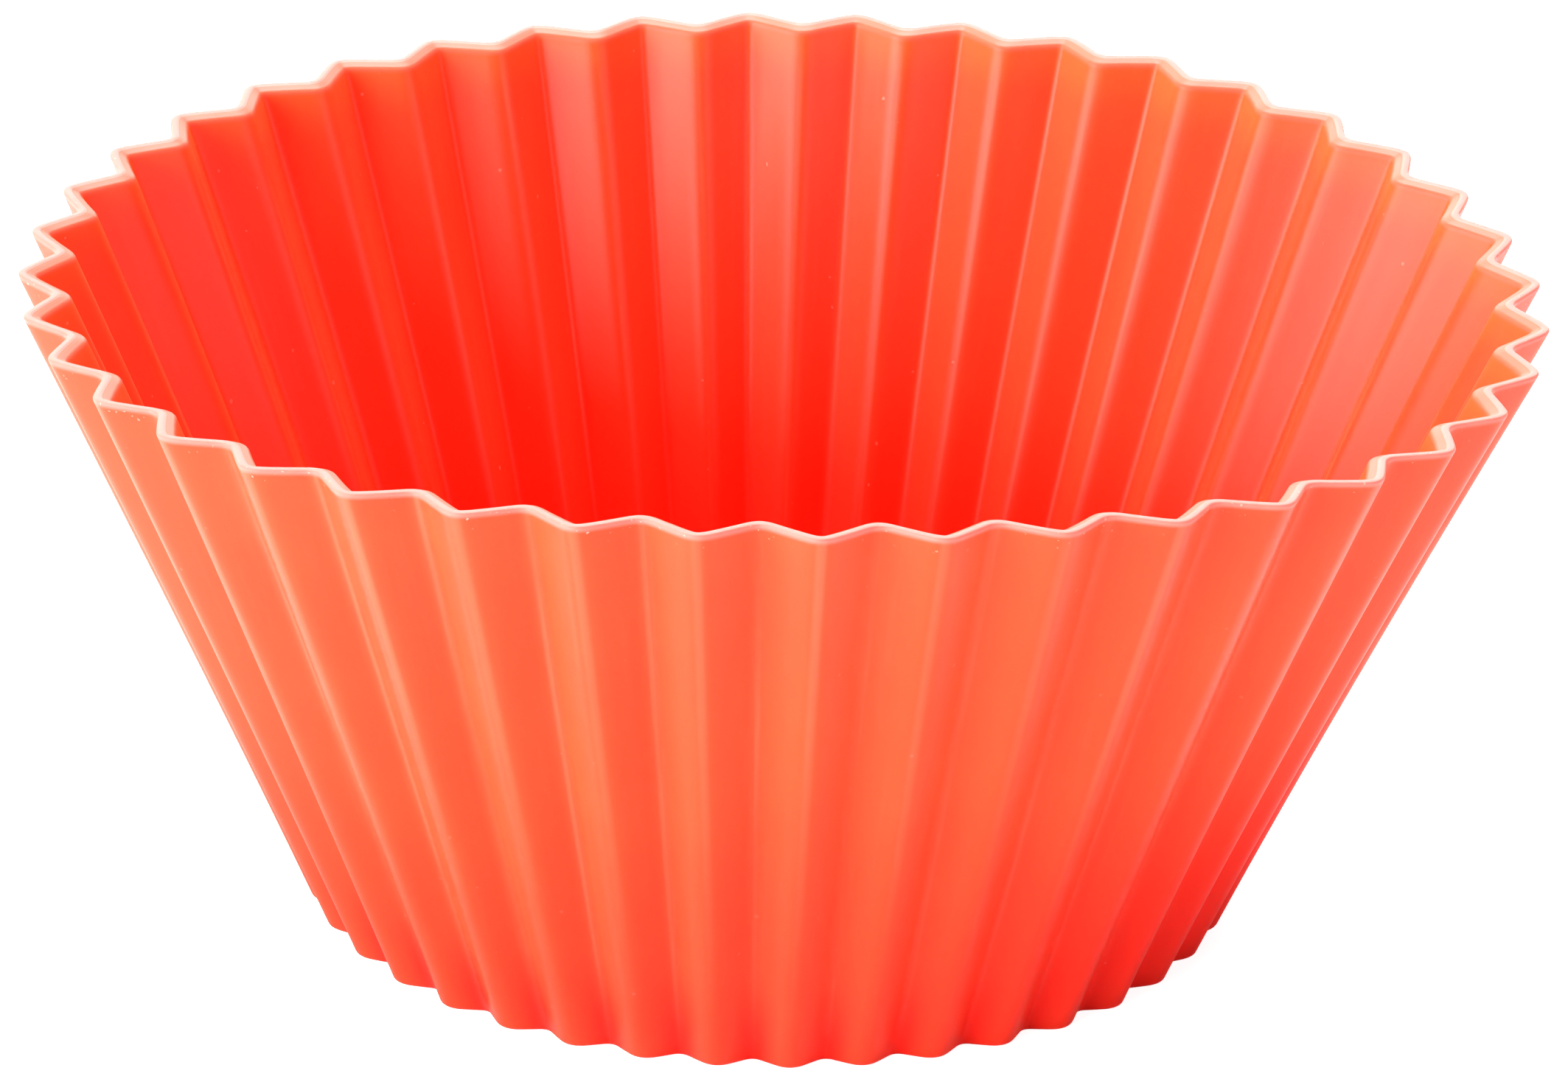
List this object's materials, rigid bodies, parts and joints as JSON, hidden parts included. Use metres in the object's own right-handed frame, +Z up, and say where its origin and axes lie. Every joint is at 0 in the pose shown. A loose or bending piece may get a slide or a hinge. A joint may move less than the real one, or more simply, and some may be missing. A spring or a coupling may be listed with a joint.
{
  "type": "baking cup",
  "caption": "Flexible reusable baking cup: a fluted wall that tapers down to a flat round base, open at the top.",
  "frame": {"origin": "centre of the underside of the base", "axes": "+Z up along the cup's axis, from the base to the open rim; +X runs through a ridge of the fluted wall"},
  "size_m": [0.07, 0.07, 0.0306],
  "materials": {
    "silicone": "satin, slightly translucent coral red"
  },
  "bodies": {
    "root": {"baking_cup": "silicone"}
  },
  "joints": []
}
